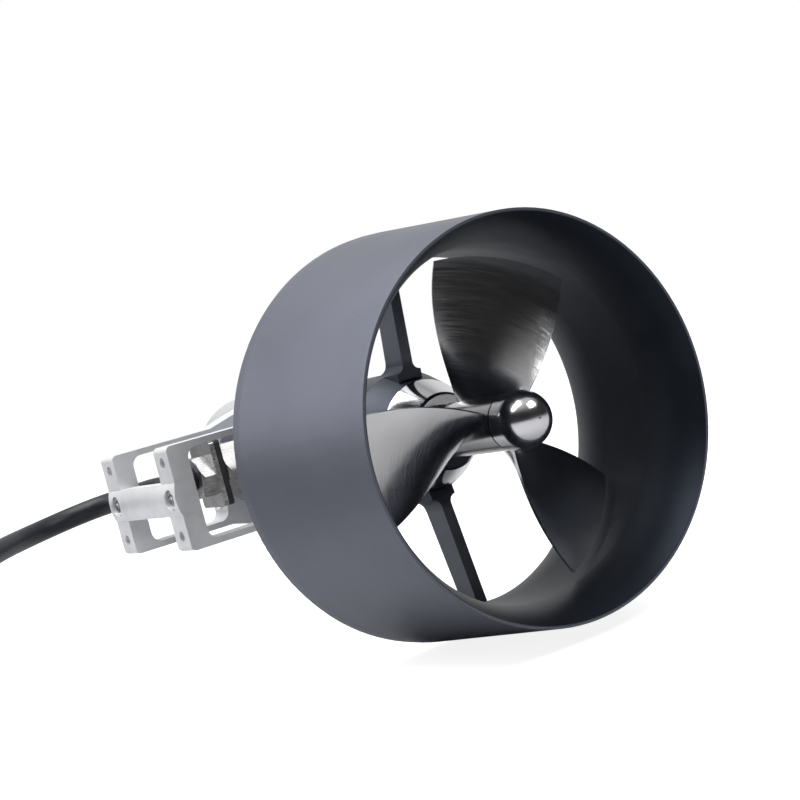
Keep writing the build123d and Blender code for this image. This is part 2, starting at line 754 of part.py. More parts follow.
coil_x = -50.0
coil_y = -146.0
coil_first_r = 51.2       # middle of the first turn, on the surface
coil_last_r = 43.2        # middle of the turn on top
coil_rise = 7.6           # each turn lies in the groove beside the one below
coil_turns = 2
coil_h = 2 * cable_r + coil_rise * coil_turns

cable_route = [
    (gland_x, 40.0, gland_z),
    (gland_x, 27.0, gland_z),
    (gland_x - 0.6, 20.5, gland_z),
    (-9.6, 14.3, 3.2),
    (-20.0, 13.0, 3.0),
    (-34.0, 13.4, 2.0),
    (-47.5, 12.7, 1.0),
    (-59.7, 6.9, 0.1),
    (-66.0, -5.0, -1.5),
    (-65.5, -18.5, -3.1),
    (-58.5, -31.0, -4.0),
    (-47.5, -42.5, -4.4),
    (-33.5, -56.0, -5.6),
    (-20.0, -70.0, -12.5),
    (-9.0, -84.0, -25.0),
    (-2.0, -96.0, -40.5),
    (1.6, -107.5, -55.5),
    (3.0, -120.0, -66.8),
    (coil_x + coil_first_r, coil_y + 13.0, floor_z + cable_r),
    (coil_x + coil_first_r, coil_y, floor_z + cable_r),
]


def corner_radii(points):
    """The arc at each corner: 0.45 of the shorter run over the tangent of half the turn."""
    radii = []
    for a, b, c in zip(points, points[1:], points[2:]):
        run_in = Vector(*b) - Vector(*a)
        run_out = Vector(*c) - Vector(*b)
        half_turn = radians(run_in.get_angle(run_out)) / 2
        radii.append(0.45 * min(run_in.length, run_out.length) / tan(half_turn))
    return radii


def build_cable_tube():
    radii = corner_radii(cable_route)
    print("cable corner radii", [round(r, 1) for r in radii])
    path = FilletPolyline(*cable_route, radius=radii)
    start = Plane(origin=cable_route[0], z_dir=Vector(*cable_route[1]) - Vector(*cable_route[0]))
    cable = sweep(start * Circle(cable_r), path=path)
    print("cable length", round(path.length, 1), "volume ratio",
          round(cable.volume / (pi * cable_r ** 2 * path.length), 4))
    return cable


def build_cable_coil():
    """Outer shape of the spare length: turns that lie on each other, each a little further in."""
    low_in, low_out = coil_first_r - cable_r, coil_first_r + cable_r
    top_in, top_out = coil_last_r - cable_r, coil_last_r + cable_r
    corners = [
        (low_in, 0), (low_out, 0), (low_out, 2 * cable_r), (top_out, coil_h), (top_in, coil_h),
        (top_in, coil_h - 2 * cable_r)]
    ring = revolve(make_face(Plane.XZ * Polyline(*corners, close=True)), Axis.Z)
    # The cable comes in along the surface here, and its end face meets the first turn
    way_in = Pos(low_in, 0, 0) * Box(3 * cable_r, coil_first_r, coil_h,
                                     align=(Align.MIN, Align.MIN, Align.MIN))
    return Pos(coil_x, coil_y, floor_z) * (ring - way_in)


# Connector on the cable's far end, lying across the coil's top turn

plug_len = 32.0
plug_body_r = 9.5
plug_boot_len = 21.0
plug_boot_wall = 1.2
plug_nose_wall = 3.0
plug_nose_d = 14.0        # where the nose that carries the sleeve begins
plug_floor_d = 22.0       # bottom of the nose's socket
plug_pin_r = 1.2
plug_pin_count = 3
plug_sleeve_wall = 2.8
plug_grip_count = 12
plug_nose_r = plug_body_r - 1.6
plug_tail_r = cable_r + plug_boot_wall
plug_sleeve_r = plug_nose_r + plug_sleeve_wall
plug_turn = radians(25.6)  # the plug lies along a chord of the coil's top turn
plug_axis = Vector(-cos(plug_turn), sin(plug_turn), 0)
plug_tail = Vector(coil_x - 2.0, coil_y - coil_last_r + 1.2, floor_z + coil_h + plug_sleeve_r + fit_gap)
plug_plane = Plane(origin=plug_tail + plug_axis * plug_boot_len, x_dir=(0, 0, 1), z_dir=plug_axis)


def plug_turned(*lines):
    """A solid turned about the connector's axis from lines drawn as (radius, distance from the boot)."""
    edges = []
    for line in lines:
        edges += (Plane.XZ * line).edges()
    return plug_plane * revolve(make_face(edges), Axis.Z)


def build_plug_body():
    """Moulded body with a tapered tail over the cable, and a nose with a socket for the pins."""
    tail = Line((cable_r, -plug_boot_len), (plug_tail_r, -plug_boot_len))
    taper = Spline((plug_tail_r, -plug_boot_len), (plug_tail_r + 0.9, -plug_boot_len * 0.45), (plug_body_r, 0.0),
                   tangents=[(0.05, 1), (0.8, 1)])
    socket_r = plug_nose_r - plug_nose_wall
    front = Polyline(
        (plug_body_r, 0), (plug_body_r, plug_nose_d), (plug_nose_r, plug_nose_d), (plug_nose_r, plug_len),
        (socket_r, plug_len), (socket_r, plug_floor_d), (0, plug_floor_d), (0, 0), (cable_r, 0),
        (cable_r, -plug_boot_len))
    return plug_turned(tail, taper, front)


def build_plug_sleeve():
    """Locking sleeve that sits on the connector's nose, grooved for grip."""
    length = plug_len - plug_nose_d - 1.0
    place = Pos(0, 0, plug_nose_d + fit_gap + length / 2)
    sleeve = Cylinder(plug_sleeve_r, length) - Cylinder(plug_nose_r + fit_gap, length)
    for i in range(plug_grip_count):
        sleeve -= Rot(0, 0, 360 / plug_grip_count * i) * Pos(plug_sleeve_r + 0.4, 0, 0) * Cylinder(0.9, length + 1)
    return plug_plane * place * sleeve


def build_plug_pins():
    length = plug_len - plug_floor_d - 2.0
    pins = []
    for i in range(plug_pin_count):
        pin = Rot(0, 0, 360 / plug_pin_count * i) * Pos(2.6, 0, plug_floor_d + length / 2) * Cylinder(plug_pin_r, length)
        pins.append(plug_plane * pin)
    return group(pins)


def write(node, shape):
    export_step(shape, f"parts/{node}.step")


write("duct", build_duct())
write("strut_frame", build_strut_frame())
write("foot_screws", build_foot_screws())
write("set_screws", build_set_screws())
write("front_housing", build_front_housing())
write("motor_can", build_motor_can())
write("rear_cap", build_rear_cap())
write("rear_cap_screws", build_rear_cap_screws())
write("o_rings", build_o_rings())
write("stator_core", build_stator_core())
write("stator_windings", build_stator_windings())
write("bearing_outer_races", build_outer_races())
write("bearing_inner_races", build_inner_races())
write("bearing_balls", build_bearing_balls())
write("shaft_seal", build_shaft_seal())
write("shaft", build_shaft())
write("drive_pin", drive_pin_body(-0.01))
write("nose_cap", build_nose_cap())
write("prop_washer", build_prop_washer())
write("propeller", build_propeller())
write("rotor_core", build_rotor_core())
write("rotor_magnets", build_rotor_magnets())
write("bracket_front_plate", build_plate(front_plate_x))
write("bracket_rear_plate", build_plate(rear_plate_x))
write("tie_bar", build_tie_bar())
write("bar_screws", build_bar_screws())
write("saddle_screws", build_saddle_screws())
write("gland_body", build_gland_body())
write("gland_seal", build_gland_seal())
write("gland_collar", build_gland_collar())
write("gland_nut", build_gland_nut())
write("gland_grommet", build_gland_grommet())
write("cable_tube", build_cable_tube())
write("cable_coil", build_cable_coil())
write("plug_body", build_plug_body())
write("plug_sleeve", build_plug_sleeve())
write("plug_pins", build_plug_pins())
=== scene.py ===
# %% [markdown]
# # An underwater thruster, dressed step by step
# The imported CAD model is the frame: its pieces are already at their real size and place. This lesson gives
# every piece its finish, lays the cable, and lights the whole as a small studio would. We start by loading
# the frame. Nothing that we add may make the thruster larger.

import bpy
import numpy as np
from mathutils import Matrix, Vector


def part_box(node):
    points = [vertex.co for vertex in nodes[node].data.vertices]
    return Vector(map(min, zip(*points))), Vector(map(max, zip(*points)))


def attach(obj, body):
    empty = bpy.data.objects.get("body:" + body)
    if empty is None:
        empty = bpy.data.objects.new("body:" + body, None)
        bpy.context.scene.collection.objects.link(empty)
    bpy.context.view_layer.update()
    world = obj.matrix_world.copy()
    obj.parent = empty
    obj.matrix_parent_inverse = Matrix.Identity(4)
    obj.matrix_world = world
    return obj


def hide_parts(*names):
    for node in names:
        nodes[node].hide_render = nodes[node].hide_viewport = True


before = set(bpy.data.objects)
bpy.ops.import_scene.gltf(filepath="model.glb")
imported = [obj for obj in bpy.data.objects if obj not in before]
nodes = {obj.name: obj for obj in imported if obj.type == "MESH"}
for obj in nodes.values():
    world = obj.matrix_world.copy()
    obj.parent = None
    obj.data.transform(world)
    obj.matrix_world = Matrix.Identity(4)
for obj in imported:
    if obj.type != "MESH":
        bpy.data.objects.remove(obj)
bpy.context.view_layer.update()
MM = 0.001

# %% [markdown]
# ## The camera
# A camera is a place and three directions. These were found by matching the duct's two rims and the
# bracket's edges, so the object sits in the picture as the real one does. The lens is long, because the
# real picture was taken from some way off, with little perspective.

# %% Place the camera
camera_at = Vector((621.2, -259.1, 44.1)) * MM
camera_right = Vector((0.5159, 0.8183, -0.2534)).normalized()
camera_up = Vector((0.0947, 0.2395, 0.9663)).normalized()
camera_back = camera_right.cross(camera_up)

camera_data = bpy.data.cameras.new("camera")
camera_data.sensor_width = 36.0
camera_data.lens = 78.75
camera_data.clip_start = 0.01
camera = bpy.data.objects.new("camera", camera_data)
camera.matrix_world = Matrix.Translation(camera_at) @ Matrix(
    (camera_right, camera_up, camera_back)).transposed().to_4x4()
bpy.context.scene.collection.objects.link(camera)
bpy.context.scene.camera = camera
bpy.context.scene.view_settings.view_transform = "Standard"
print("camera at", camera_at, "looks along", -camera_back)

# %% [markdown]
# ## Sums in a material
# A material that changes over a surface is arithmetic on positions. Wiring a Math node for each sum by
# hand is slow to read, so a small class wraps a node's socket, and its operators add the nodes.

# %% Values


class Value:
    """A number or vector that varies over a surface. Arithmetic on it adds Math nodes."""

    def __init__(self, finish, socket):
        self.finish = finish
        self.socket = socket

    def math(self, operation, other):
        return self.finish.add("ShaderNodeMath", {"operation": operation}, {0: self, 1: other})

    def __add__(self, other):
        return self.math("ADD", other)

    def __mul__(self, other):
        return self.math("MULTIPLY", other)

    def __sub__(self, other):
        return self.math("SUBTRACT", other)

    def __rsub__(self, other):
        return self * -1 + other

    def __truediv__(self, other):
        return self.math("DIVIDE", other)

    def __pow__(self, other):
        return self.math("POWER", other)

    __radd__ = __add__
    __rmul__ = __mul__

    def between(self, low, high):
        """0 below low, 1 above high, and smooth between them."""
        return self.finish.add("ShaderNodeMapRange", {"interpolation_type": "SMOOTHSTEP"},
                               {"Value": self, "From Min": low, "From Max": high})


print("made the class", Value.__name__)

# %% [markdown]
# ## One finish
# On the real thruster a finish is a coat, or what a tool left on the metal. Here it is one material: the
# constants of its Principled shader, and the values that feed the shader where the finish varies. Its nodes
# could be wired by hand in the shader editor, but a class with one method that adds any node keeps a whole
# finish readable in a few lines.

# %% Finishes


class Finish:
    """One material: a Principled shader, the constants on its sockets, and the nodes that feed it."""

    def __init__(self, name, color, metallic, roughness, **constants):
        self.material = bpy.data.materials.new(name)
        self.material.use_nodes = True
        self.tree = self.material.node_tree
        self.shader = self.tree.nodes["Principled BSDF"]
        constants.update({"Base Color": (*color, 1), "Metallic": metallic, "Roughness": roughness})
        for socket, value in constants.items():
            self.shader.inputs[socket.replace("_", " ")].default_value = value
        self.place = None

    def plug_in(self, socket, value):
        if isinstance(value, Value):
            self.tree.links.new(value.socket, socket)
        else:
            socket.default_value = value

    def add(self, kind, settings=(), inputs=(), output=0):
        """Adds a node: its settings first, then the values or links of its sockets. Sockets aren't found by
        their names, because a Mix node has several with one name."""
        node = self.tree.nodes.new(kind)
        for name, setting in dict(settings).items():
            setattr(node, name, setting)
        for key, value in dict(inputs).items():
            self.plug_in(self.find(node.inputs, key), value)
        return Value(self, self.find(node.outputs, output))

    def find(self, sockets, key):
        """The socket with that number or identifier."""
        return sockets[key] if isinstance(key, int) else next(s for s in sockets if s.identifier == key)

    def feed(self, socket, value):
        self.plug_in(self.shader.inputs[socket], value)
        return self

    def position(self):
        """The place on the piece, in metres, which turns with the piece when it moves."""
        if self.place is None:
            self.place = self.add("ShaderNodeTexCoord", output="Object")
        return self.place

    def axes(self):
        """The position's x, y and z as three values."""
        first = self.add("ShaderNodeSeparateXYZ", (), {0: self.position()})
        return [Value(self, out) for out in first.socket.node.outputs]

    def point(self, x, y, z):
        return self.add("ShaderNodeCombineXYZ", (), {"X": x, "Y": y, "Z": z})

    def noise(self, scale, detail=2.0, at=None):
        where = self.position() if at is None else at
        return self.add("ShaderNodeTexNoise", (), {"Vector": where, "Scale": scale, "Detail": detail})

    def blend_color(self, share, color_a, color_b):
        """Color a where share is 0, and color b where it is 1."""
        color_a, color_b = [c if isinstance(c, Value) else (*c, 1) for c in (color_a, color_b)]
        return self.add("ShaderNodeMix", {"data_type": "RGBA"},
                        {"Factor_Float": share, "A_Color": color_a, "B_Color": color_b}, "Result_Color")

    def bump(self, height, distance):
        """A height in 0..1 that stands up to `distance` metres out of the surface."""
        return self.feed("Normal", self.add("ShaderNodeBump", (), {"Strength": 1.0, "Distance": distance,
                                                                   "Height": height}))


print("made the class", Finish.__name__)

# %% [markdown]
# ## The studio
# The real picture is a cut-out on pure white. Here the floor and the world are white to the camera, but
# the light itself comes from a dim room with a white backdrop and large soft lamps, so that polished steel
# has something dark and something bright to show. Is Camera Ray keeps the two apart.

# %% The room's light
BACKDROP_EDGE = (0.30, 0.88)      # cosines from the backdrop's middle, where it starts and where it is full
ROOM_LIGHT, BACKDROP_LIGHT = 0.03, 1.0
CEILING_EDGE = (0.45, 0.95)       # upward part of a direction, where the ceiling starts and where it is full
CEILING_LIGHT = 0.7


def world_light():
    """White to the camera; to everything else a dark room with a white backdrop and a pale ceiling."""
    world = bpy.data.worlds.new("studio")
    world.use_nodes = True
    tree = world.node_tree
    tree.nodes.clear()

    def node(kind, **inputs):
        made = tree.nodes.new(kind)
        for name, value in inputs.items():
            made.inputs[name.replace("_", " ")].default_value = value
        return made

    def smooth_step(source, edge, low, high):
        step = node("ShaderNodeMapRange", From_Min=edge[0], From_Max=edge[1], To_Min=low, To_Max=high)
        step.interpolation_type = "SMOOTHSTEP"
        tree.links.new(source, step.inputs["Value"])
        return step.outputs[0]

    direction = node("ShaderNodeTexCoord").outputs["Generated"]
    split = node("ShaderNodeSeparateXYZ")
    tree.links.new(direction, split.inputs[0])
    facing = node("ShaderNodeVectorMath")
    facing.operation = "DOT_PRODUCT"
    tree.links.new(direction, facing.inputs[0])
    facing.inputs[1].default_value = -camera_back
    level = node("ShaderNodeMath")
    level.operation = "MAXIMUM"
    backdrop = smooth_step(facing.outputs["Value"], BACKDROP_EDGE, ROOM_LIGHT, BACKDROP_LIGHT)
    ceiling = smooth_step(split.outputs["Z"], CEILING_EDGE, 0.0, CEILING_LIGHT)
    tree.links.new(backdrop, level.inputs[0])
    tree.links.new(ceiling, level.inputs[1])
    light = node("ShaderNodeBackground")
    tree.links.new(level.outputs[0], light.inputs["Strength"])
    white = node("ShaderNodeBackground", Color=(1, 1, 1, 1), Strength=1.0)
    mix = node("ShaderNodeMixShader")
    tree.links.new(node("ShaderNodeLightPath").outputs["Is Camera Ray"], mix.inputs[0])
    tree.links.new(light.outputs[0], mix.inputs[1])
    tree.links.new(white.outputs[0], mix.inputs[2])
    tree.links.new(mix.outputs[0], node("ShaderNodeOutputWorld").inputs["Surface"])
    bpy.context.scene.world = world


world_light()
print("room", ROOM_LIGHT, "backdrop", BACKDROP_LIGHT, "ceiling", CEILING_LIGHT)

# %% [markdown]
# ## The floor and the lamps
# The floor is one pale sheet under the duct. Its own glow, which only the camera sees, brings it up to
# white, and it still keeps the shadow. The lamps are large, because small ones leave hard spots on
# polished steel.

# %% Floor and lamps
floor_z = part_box("duct")[0].z
FLOOR_HALF, FLOOR_GLOW = 4.0, 0.86


def build_floor():
    """A wide pale sheet that keeps the shadow; part of its white is its own glow to the camera."""
    corners = [(FLOOR_HALF * x, FLOOR_HALF * y, floor_z) for x, y in ((-1, -1), (1, -1), (1, 1), (-1, 1))]
    mesh = bpy.data.meshes.new("floor")
    mesh.from_pydata(corners, [], [(0, 1, 2, 3)])
    floor = bpy.data.objects.new("floor", mesh)
    bpy.context.scene.collection.objects.link(floor)
    finish = Finish("floor_paper", (0.5, 0.5, 0.51), 0.0, 0.9, Emission_Strength=1.0)
    seen = finish.add("ShaderNodeLightPath", output="Is Camera Ray")
    finish.feed("Emission Color", finish.blend_color(seen, (0, 0, 0), (FLOOR_GLOW,) * 3))
    mesh.materials.append(finish.material)


def lamp(name, at, aim, size, power):
    """A soft rectangular lamp at a place, pointed at another, with its size in metres."""
    data = bpy.data.lights.new(name, "AREA")
    data.shape = "RECTANGLE"
    data.size, data.size_y = size
    data.energy = power
    obj = bpy.data.objects.new(name, data)
    obj.location = at
    obj.rotation_euler = (Vector(aim) - Vector(at)).to_track_quat("-Z", "Y").to_euler()
    bpy.context.scene.collection.objects.link(obj)


build_floor()
lamp("softbox_top", (0.0, -0.35, 1.05), (0.05, 0.0, 0), (1.2, 0.9), 19)
lamp("softbox_high", (0.85, 0.55, 0.85), (0.06, 0.0, 0), (0.5, 0.35), 5.0)
lamp("softbox_left", (-0.75, -0.95, 0.6), (0.0, 0.0, 0), (0.7, 0.8), 5)

# %% [markdown]
# ## The cable's route
# The real cable is stiff and holds a smooth line: out of the gland, through the rear plate's window, in a
# loose curve down to the floor, and round in a small coil of the spare length. Physics could lay it, but it
# only has to lie still, so these points are listed one by one, in millimetres, as the CAD tube's are.

# %% Choose the route
CABLE_HALF = 4.25                 # half of the cable's diameter, in millimetres
CABLE_R = CABLE_HALF * MM
COIL_X, COIL_Y = -50.0, -146.0    # the coil's middle
FIRST_R, LAST_R = 51.2, 43.2      # radius of the first turn and of the last
COIL_LEAD = 13.0                  # how far before the coil the cable reaches the floor
FLOOR = floor_z / MM
CABLE_ROUTE = [
    (-4.0, 40.0, 3.2),
    (-4.0, 27.0, 3.2),
    (-4.6, 20.5, 3.2),
    (-9.6, 14.3, 3.2),
    (-20.0, 13.0, 3.0),
    (-34.0, 13.4, 2.0),
    (-47.5, 12.7, 1.0),
    (-59.7, 6.9, 0.1),
    (-66.0, -5.0, -1.5),
    (-65.5, -18.5, -3.1),
    (-58.5, -31.0, -4.0),
    (-47.5, -42.5, -4.4),
    (-33.5, -56.0, -5.6),
    (-20.0, -70.0, -12.5),
    (-9.0, -84.0, -25.0),
    (-2.0, -96.0, -40.5),
    (1.6, -107.5, -55.5),
    (3.0, -120.0, -66.8),
    (COIL_X + FIRST_R, COIL_Y + COIL_LEAD, FLOOR + CABLE_HALF),
]
print("route:", len(CABLE_ROUTE), "points down to z", round(CABLE_ROUTE[-1][2], 2))

# %% [markdown]
# ## The coil and the connector
# Each turn of a coil is smaller and higher than the one it lies on, so the points come from a loop: the
# angle, the radius and the height all change by the same part at each step. Then the line lifts off and
# runs straight into the connector, which lies on the coil with its sleeve touching.

# %% Work out the coil
COIL_RISE, COIL_TURNS = 7.6, 2    # how far a turn climbs, and how many there are
COIL_TOP = COIL_RISE * COIL_TURNS + 2 * CABLE_HALF
PLUG_TURN = np.radians(25.6)      # the connector's turn from the X axis
PLUG_ASIDE = (-2.0, 1.2)          # its tail, from where one more quarter turn would end
PLUG_REST = 10.75                 # height of its axis over the coil: its sleeve's radius and a clearance
PLUG_TAIL = (COIL_X + PLUG_ASIDE[0], COIL_Y - LAST_R + PLUG_ASIDE[1], FLOOR + COIL_TOP + PLUG_REST)
LEAD_IN = (14.0, 0.0, -16.0)      # the last points before the tail, at it, and inside the connector


def coil_points(steps=16):
    """Points of the turns: angle falls from 0, radius shrinks and height grows by the same part each step.
    The radius is divided by the root of a cosine, because the line runs a little inside its points."""
    points = []
    for i in range(COIL_TURNS * steps + 1):
        share = i / (COIL_TURNS * steps)
        angle = -2 * np.pi * COIL_TURNS * share
        radius = (FIRST_R + (LAST_R - FIRST_R) * share) / np.cos(np.pi / steps) ** 0.5
        points.append((COIL_X + radius * np.cos(angle), COIL_Y + radius * np.sin(angle),
                       FLOOR + CABLE_HALF + COIL_RISE * COIL_TURNS * share))
    return points


def rise_to_plug():
    """One more quarter turn, whose height grows as share to the power 1.5, so that it lifts off slowly, and
    then points on the connector's axis."""
    points = []
    axis = (-np.cos(PLUG_TURN), np.sin(PLUG_TURN))
    start_z = FLOOR + CABLE_HALF + COIL_RISE * COIL_TURNS
    for share in (0.25, 0.5, 0.75):
        angle = -np.pi / 2 * share
        lift = (PLUG_TAIL[2] - start_z) * share ** 1.5
        points.append((COIL_X + LAST_R * np.cos(angle), COIL_Y + LAST_R * np.sin(angle), start_z + lift))
    for back in LEAD_IN:
        points.append((PLUG_TAIL[0] - axis[0] * back, PLUG_TAIL[1] - axis[1] * back, PLUG_TAIL[2]))
    return points


print("coil:", len(coil_points()), "points, rise:", len(rise_to_plug()), "points, height:", COIL_TOP, "mm")

# %% [markdown]
# ## Laying the cable
# A cable is one section carried along one line. A mesh tube would do, but a spline with a round bevel stays
# smooth with few points, and it can be laid again. A point's radius widens the curve's box as well as its
# tube, so each point has the cable's real radius, and the bevel is 1.

# %% Lay the cable


def build_cable():
    """One open spline through the route, the turns and the rise, with a round section."""
    points = CABLE_ROUTE + coil_points() + rise_to_plug()
    curve = bpy.data.curves.new("cable", "CURVE")
    curve.dimensions = "3D"
    spline = curve.splines.new("NURBS")
    spline.points.add(len(points) - 1)
    for point, place in zip(spline.points, points):
        point.co = (*(Vector(place) * MM), 1)
        point.radius = CABLE_R
    spline.order_u = 3
    spline.use_endpoint_u = True
    spline.resolution_u = 8
    curve.bevel_depth = 1.0
    curve.bevel_resolution = 6
    curve.use_fill_caps = True
    cable = bpy.data.objects.new("cable", curve)
    bpy.context.scene.collection.objects.link(cable)
    return cable


cable = build_cable()
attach(cable, "housing")
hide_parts("cable_tube")
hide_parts("cable_coil")
print("cable:", len(cable.data.splines[0].points), "control points, radius", CABLE_R, "m")

# %% [markdown]
# ## Marks that a tool leaves
# Metal is never even: a lathe leaves rings, a grinding belt leaves lines, and blasting leaves small pits.
# Each mark is noise on chosen coordinates. Rings come from noise that hardly changes round the axis, and
# lines from noise that hardly changes along one direction. The same noise drives roughness and a low bump.

# %% Grain helpers
duct_low, duct_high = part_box("duct")
SHAFT_Y = (duct_low.y + duct_high.y) / 2   # the duct is round about the shaft
ALONG_SHARE, OUT_SHARE = 0.6, 1.3       # how fast rings follow each other along the shaft and out from it
ROUND_SHARE = 0.003                     # and how slowly a ring changes on its way round
TINY = 1e-9                             # square metres, so that the radius is never 0 on the shaft's own line


def round_shaft(finish):
    """The place as x along the shaft, y and z out from it, and the radius."""
    x, y, z = finish.axes()
    y = y - SHAFT_Y
    return x, y, z, (y * y + z * z + TINY) ** 0.5


def round_axis(finish):
    """Coordinates that change fast along and out from the shaft and slowly round it, with no seam."""
    x, y, z, radius = round_shaft(finish)
    return finish.point(x * ALONG_SHARE + radius * OUT_SHARE,
                        y / radius * ROUND_SHARE, z / radius * ROUND_SHARE)


def along_line(finish, slow):
    """Coordinates squeezed along the direction that the lines run in."""
    x, y, z = finish.axes()
    return finish.point(x * slow[0], y * slow[1], z * slow[2])


def grain(finish, scale, rough, height, at=None, detail=2.0):
    """Noise of the given scale carries roughness from rough[0] to rough[1], and a bump of `height` metres.
    Most of a noise lies between 0.25 and 0.75, so that stretch is spread over the whole range."""
    mark = finish.noise(scale, detail, at)
    finish.feed("Roughness", mark.between(0.25, 0.75) * (rough[1] - rough[0]) + rough[0])
    return finish.bump(mark, height)


def tones(finish, scale, dark, light):
    """A color that drifts between two tones in soft patches."""
    return finish.blend_color(finish.noise(scale, 3.0).between(0.3, 0.7), dark, light)


def mottle(finish, scale, dark, light):
    """Base color drifts between two tones in soft patches."""
    return finish.feed("Base Color", tones(finish, scale, dark, light))


print("shaft at y", round(SHAFT_Y, 4))

# %% [markdown]
# ## The duct's coat
# The duct is aluminium, blasted to a fine even grain and then hard-coated in a blue grey. The coat reflects
# softly, so most of its look is the room: pale where it turns to the backdrop, dark where it turns to the
# room. Its inner face gets a much darker base tone, which is painted shade: it stands for the shade deep
# inside the ring. Two materials would need the mesh cut in two, so one material compares each place's radius
# with that of the outer cone instead.

# %% The duct's coat
INLET_R = duct_high.z             # the duct's outer radius at its wide end
OUTLET_R = 0.070                  # and at the end that faces the camera
SKIN = 0.0013                     # how far under the outer surface still counts as outside

duct_coat = Finish("duct_coat", (0.14, 0.15, 0.185), 0.85, 0.44)
x, *_, radius = round_shaft(duct_coat)
cone_radius = (duct_high.x - x) * ((INLET_R - OUTLET_R) / (duct_high.x - duct_low.x)) + OUTLET_R
outside = (radius - cone_radius).between(-SKIN, -SKIN / 2)
outer_tone = tones(duct_coat, 28.0, (0.142, 0.151, 0.186), (0.156, 0.165, 0.202))
# Painted shade: the inner face gets a far darker tone than the outer one, to stand for the shade inside the
# ring.
inner_painted_shade = tones(duct_coat, 28.0, (0.013, 0.017, 0.026), (0.018, 0.023, 0.033))
duct_coat.feed("Base Color", duct_coat.blend_color(outside, inner_painted_shade, outer_tone))
duct_coat.feed("Metallic", outside * 0.1 + 0.75)      # 0.75 inside, 0.85 outside
grain(duct_coat, 2600.0, (0.40, 0.50), 0.00003)
print("duct's outer cone:", round(INLET_R, 4), "to", OUTLET_R)

# %% [markdown]
# ## The coats of the struts and the motor
# Struts and sleeve are one piece with one coat. The sleeve, which sits deep in the duct, gets a darker tone,
# which is painted shade for its place there. The radius tells them apart again, with a soft step between. The
# motor's can is turned before it is coated, so faint rings show through, and its coat is a little bluer.

# %% Coats of the struts and the can
SLEEVE_R, STRUT_R = 0.0252, 0.030       # where the sleeve's tone ends, and where the struts' is full
strut_coat = Finish("strut_coat", (0.075, 0.085, 0.11), 0.8, 0.45)
*_, radius = round_shaft(strut_coat)
on_strut = radius.between(SLEEVE_R, STRUT_R)
# Painted shade: the sleeve's tone is darker than the struts' to stand for the shade deep in the duct.
sleeve_painted_shade = tones(strut_coat, 60.0, (0.048, 0.054, 0.070), (0.058, 0.065, 0.082))
strut_tone = tones(strut_coat, 60.0, (0.115, 0.125, 0.150), (0.135, 0.145, 0.172))
strut_coat.feed("Base Color", strut_coat.blend_color(on_strut, sleeve_painted_shade, strut_tone))
grain(strut_coat, 2600.0, (0.38, 0.5), 0.00003)

can = Finish("can_coat", (0.16, 0.18, 0.235), 0.85, 0.4)
mottle(can, 40.0, (0.15, 0.17, 0.225), (0.175, 0.195, 0.25))
grain(can, 900.0, (0.34, 0.44), 0.00002, round_axis(can))
print("made", [finish.material.name for finish in (duct_coat, strut_coat, can)])

# %% [markdown]
# ## The propeller
# The blades are steel, ground round the shaft on a fine belt and then polished. A picture of scratches
# could be laid on them, but it would need a layout for every blade. Noise that hardly changes round the
# shaft gives the same fine lines on all three, and a slow drift of tone keeps them from looking like one.

# %% Ground steel
blade = Finish("blade_steel", (0.60, 0.60, 0.61), 1.0, 0.2)
grain(blade, 1500.0, (0.15, 0.25), 0.000004, round_axis(blade), 3.0)
mottle(blade, 45.0, (0.56, 0.56, 0.575), (0.64, 0.64, 0.65))
print("made", blade.material.name)

# %% [markdown]
# ## Turned steel
# The nose cap, the cone behind the propeller and the rear cap come off a lathe. The first two are polished
# until they mirror the room, and the rear cap is left satin. What tells them apart is roughness more than
# color, so all three have the same rings with a different range.

# %% Turned steel
polished = Finish("polished_steel", (0.75, 0.75, 0.77), 1.0, 0.12)
grain(polished, 1200.0, (0.08, 0.16), 0.00001, round_axis(polished))

nose = Finish("nose_steel", (0.72, 0.72, 0.74), 1.0, 0.09)
grain(nose, 900.0, (0.15, 0.22), 0.000003, round_axis(nose))

cap = Finish("cap_steel", (0.86, 0.87, 0.88), 1.0, 0.3)
grain(cap, 1000.0, (0.28, 0.33), 0.000004, round_axis(cap))
print("made", [finish.material.name for finish in (polished, nose, cap)])

# %% [markdown]
# ## Bracket, screws and gland
# The two plates and the tie bar are light alloy, brushed in one direction. The gland's nut, collar and body
# are darker steel with finer lines. Brushing is noise squeezed along one axis, because the mark of a belt
# is long in the direction in which it ran. Screws are small, so plain fine grain is enough.

# %% Brushed alloy and small steel parts
bracket = Finish("bracket_alloy", (0.77, 0.78, 0.80), 0.5, 0.42)
mottle(bracket, 90.0, (0.72, 0.73, 0.75), (0.82, 0.83, 0.845))
grain(bracket, 800.0, (0.34, 0.48), 0.000015, along_line(bracket, (1.0, 0.05, 1.0)), 4.0)

screw = Finish("screw_steel", (0.7, 0.7, 0.71), 1.0, 0.22)
grain(screw, 1500.0, (0.16, 0.3), 0.00001)

gland = Finish("gland_steel", (0.38, 0.375, 0.375), 1.0, 0.3)
mottle(gland, 200.0, (0.34, 0.335, 0.335), (0.44, 0.435, 0.435))
grain(gland, 2400.0, (0.24, 0.34), 0.000002, along_line(gland, (1.0, 0.08, 1.0)))
print("made", [finish.material.name for finish in (bracket, screw, gland)])

# %% [markdown]
# ## Rubber, jacket and plastic
# Moulded pieces take their skin from the mould. The seals and the connector's body are dull rubber with
# some dust in it, the cable's jacket is smoother, and the washer and the connector's sleeve are hard
# plastic. None is pure black, or its shape would be lost.

# %% Rubber, jacket, plastic and contacts
rubber = Finish("seal_rubber", (0.02, 0.02, 0.022), 0.0, 0.6)
mottle(rubber, 300.0, (0.016, 0.016, 0.018), (0.030, 0.030, 0.032))
grain(rubber, 1800.0, (0.52, 0.7), 0.00004)

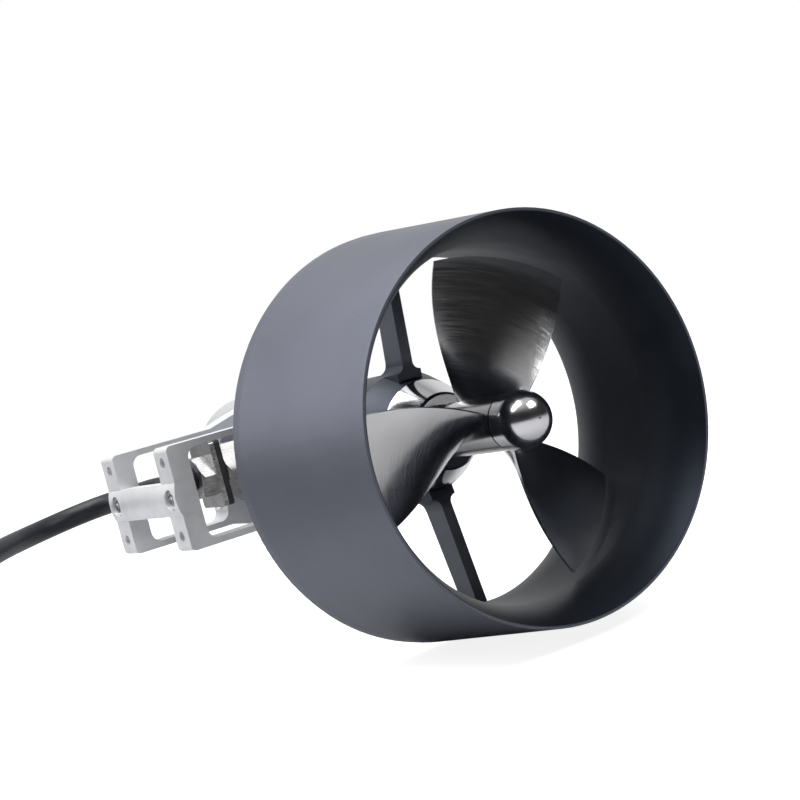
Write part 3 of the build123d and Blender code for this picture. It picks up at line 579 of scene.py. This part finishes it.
jacket = Finish("cable_jacket", (0.013, 0.015, 0.02), 0.0, 0.42, Specular_IOR_Level=0.35)
mottle(jacket, 120.0, (0.010, 0.012, 0.017), (0.015, 0.018, 0.024))
grain(jacket, 1400.0, (0.36, 0.5), 0.00004)

plastic = Finish("black_plastic", (0.03, 0.03, 0.033), 0.0, 0.45)
mottle(plastic, 150.0, (0.026, 0.026, 0.029), (0.036, 0.036, 0.039))
grain(plastic, 2000.0, (0.38, 0.52), 0.00003)

gold = Finish("contact_gold", (0.8, 0.6, 0.25), 1.0, 0.25)
grain(gold, 1500.0, (0.18, 0.32), 0.00001)
print("made", [finish.material.name for finish in (rubber, jacket, plastic, gold)])

# %% [markdown]
# ## Inside the motor
# These pieces show only when the motor is taken apart, so their finishes are plain but not flat. The core
# is a stack of thin sheets, and noise that changes fast along the shaft alone draws the sheets' edges.

# %% Core, copper, bearings and magnets
core = Finish("core_steel", (0.2, 0.2, 0.21), 0.9, 0.5)
grain(core, 2800.0, (0.42, 0.6), 0.00004, along_line(core, (1.0, 0.02, 0.02)))

copper = Finish("copper", (0.72, 0.33, 0.16), 1.0, 0.35)
mottle(copper, 400.0, (0.62, 0.26, 0.12), (0.78, 0.38, 0.2))
grain(copper, 1800.0, (0.28, 0.42), 0.00003)

bearing = Finish("bearing_steel", (0.7, 0.7, 0.72), 1.0, 0.12)
grain(bearing, 1400.0, (0.09, 0.16), 0.00001, round_axis(bearing))

magnet = Finish("magnet_plate", (0.5, 0.5, 0.52), 1.0, 0.25)
grain(magnet, 1200.0, (0.2, 0.32), 0.00001)
print("made", [finish.material.name for finish in (core, copper, bearing, magnet)])

# %% [markdown]
# ## Dress the pieces
# Each piece of the frame keeps its mesh and gets its finish in its material slot. A table from piece to
# finish is quick to read, and the loop stops if a piece is missing from it. The cable is ours, so it gets
# its jacket by itself.

# %% Give each piece its finish
FINISH_OF = {
    "duct": duct_coat, "strut_frame": strut_coat, "foot_screws": screw, "set_screws": screw,
    "front_housing": polished, "motor_can": can, "rear_cap": cap, "rear_cap_screws": screw,
    "o_rings": rubber, "stator_core": core, "stator_windings": copper, "bearing_outer_races": bearing,
    "bearing_inner_races": bearing, "bearing_balls": bearing, "shaft_seal": rubber, "shaft": polished,
    "drive_pin": bearing, "nose_cap": nose, "prop_washer": plastic, "propeller": blade, "rotor_core": core,
    "rotor_magnets": magnet, "bracket_front_plate": bracket, "bracket_rear_plate": bracket,
    "tie_bar": bracket, "bar_screws": screw, "saddle_screws": screw, "gland_body": gland,
    "gland_seal": rubber, "gland_collar": gland, "gland_nut": gland, "gland_grommet": rubber,
    "cable_tube": jacket, "cable_coil": jacket, "plug_body": rubber, "plug_sleeve": plastic,
    "plug_pins": gold,
}
for name, node in nodes.items():
    node.data.materials.clear()
    node.data.materials.append(FINISH_OF[name].material)
cable.data.materials.append(jacket.material)
print(len(nodes), "pieces dressed, in", len(set(FINISH_OF.values())), "finishes")
